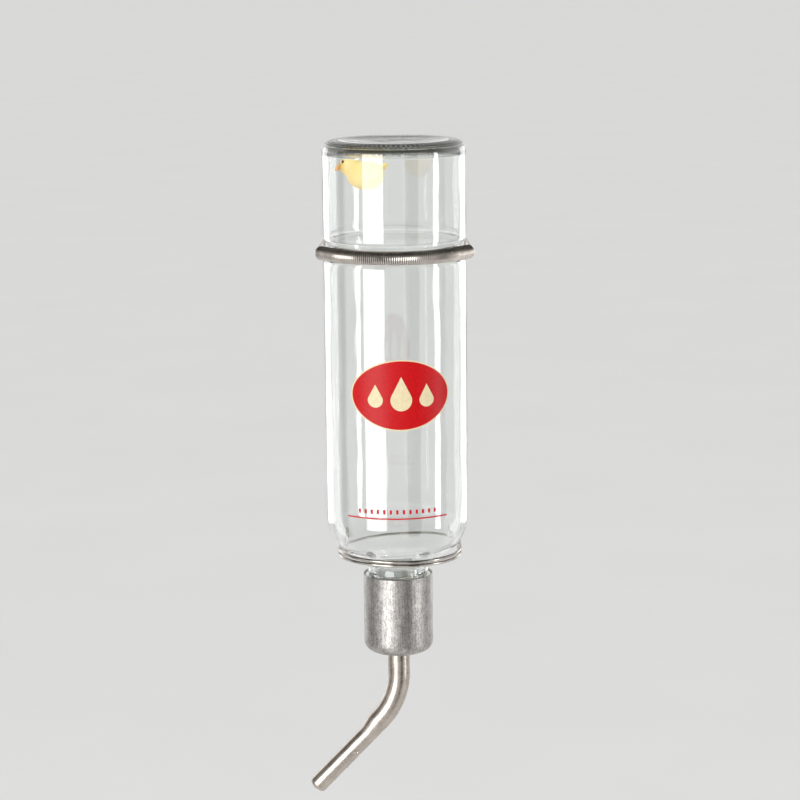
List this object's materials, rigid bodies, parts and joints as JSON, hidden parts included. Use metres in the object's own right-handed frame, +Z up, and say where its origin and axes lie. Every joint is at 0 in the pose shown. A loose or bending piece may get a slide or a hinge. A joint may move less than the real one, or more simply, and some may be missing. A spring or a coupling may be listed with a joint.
{
  "type": "small animal drinking bottle",
  "caption": "Clear glass drinking bottle hung neck down on a cage by a wire ring and a coil spring, with a steel screw cap and a bent ball-tip sipper tube.",
  "frame": {"origin": "midway between the ring hanger's two hooks, on the centreline of the cage wire they hang on", "axes": "+Z up along the bottle, base up; +Y into the cage; +X to the right seen from the front"},
  "size_m": [0.0692, 0.0693, 0.2718],
  "materials": {
    "clear_glass": "clear, polished, stippled on the base ring",
    "badge_red": "fired enamel print, satin",
    "badge_cream": "fired enamel print, satin",
    "gasket_rubber": "smooth moulded",
    "cap_steel": "drawn, mottled, with lengthwise draw marks",
    "liner_plastic": "moulded",
    "tube_steel": "satin",
    "ball_steel": "ground and polished",
    "spring_steel": "bright drawn wire",
    "ring_wire": "bright drawn wire",
    "duck_yellow": "moulded",
    "duck_orange": "moulded"
  },
  "bodies": {
    "hanger": {"ring_hanger": "ring_wire"},
    "spring": {"spring_wrap": "spring_steel", "spring_flex_left": "spring_steel", "spring_flex_right": "spring_steel"},
    "left_hook": {"spring_tail_left": "spring_steel", "spring_hook_left": "spring_steel"},
    "right_hook": {"spring_tail_right": "spring_steel", "spring_hook_right": "spring_steel"},
    "bottle": {"glass_bottle": "clear_glass", "badge_field_print": "badge_red", "badge_cream_print": "badge_cream", "fill_line_print": "badge_red"},
    "duck": {"duck_body": "duck_yellow", "duck_beak": "duck_orange"},
    "gasket": {"neck_gasket": "gasket_rubber"},
    "cap": {"cap_shell": "cap_steel", "cap_thread_insert": "liner_plastic", "tube_bush": "gasket_rubber"},
    "tube": {"sipper_tube": "tube_steel"},
    "tip_ball": {"tip_ball": "ball_steel"},
    "upper_ball": {"upper_ball": "ball_steel"}
  },
  "joints": [
    {"name": "bottle_lift", "type": "slide", "parent": "hanger", "child": "spring", "axis": [0, 0, 1], "range_m": [0, 0.04]},
    {"name": "left_hook_swing", "type": "hinge", "parent": "spring", "child": "left_hook", "pos_m": [-0.02458, -0.05184, 0.1266], "axis": [0, 0, -1], "range_deg": [-45, 0], "deforming": ["spring_flex_left"]},
    {"name": "right_hook_swing", "type": "hinge", "parent": "spring", "child": "right_hook", "pos_m": [0.02278, -0.05184, 0.1266], "axis": [0, 0, 1], "range_deg": [-45, 0], "deforming": ["spring_flex_right"]},
    {"name": "bottle_turn", "type": "hinge", "parent": "spring", "child": "bottle", "pos_m": [-0.0009, -0.034, 0.1266], "axis": [0, 0, 1], "continuous": true},
    {"name": "duck_float", "type": "slide", "parent": "bottle", "child": "duck", "axis": [0, 0, -1], "range_m": [0, 0.11], "stiffness_N_per_m": 0.5, "springref_m": -0.08},
    {"name": "cap_travel", "type": "slide", "parent": "bottle", "child": "gasket", "axis": [0, 0, -1], "range_m": [0, 0.01756]},
    {"name": "cap_turn", "type": "hinge", "parent": "gasket", "child": "cap", "pos_m": [-0.0009, -0.034, -0.0245], "axis": [0, 0, -1], "range_deg": [0, 1980]},
    {"name": "tube_swivel", "type": "hinge", "parent": "cap", "child": "tube", "pos_m": [-0.0009, -0.034, -0.035], "axis": [0, 0, 1], "continuous": true},
    {"name": "tip_ball_push", "type": "slide", "parent": "tube", "child": "tip_ball", "axis": [0.6947, 0, 0.7193], "range_m": [0, 0.0025]},
    {"name": "upper_ball_push", "type": "slide", "parent": "tube", "child": "upper_ball", "axis": [0.6947, 0, 0.7193], "range_m": [0, 0.0025]}
  ],
  "couplings": [
    {"joint": "cap_travel", "follows": "cap_turn", "m_per_rad": 0.00050532},
    {"joint": "upper_ball_push", "follows": "tip_ball_push", "ratio": 1}
  ]
}
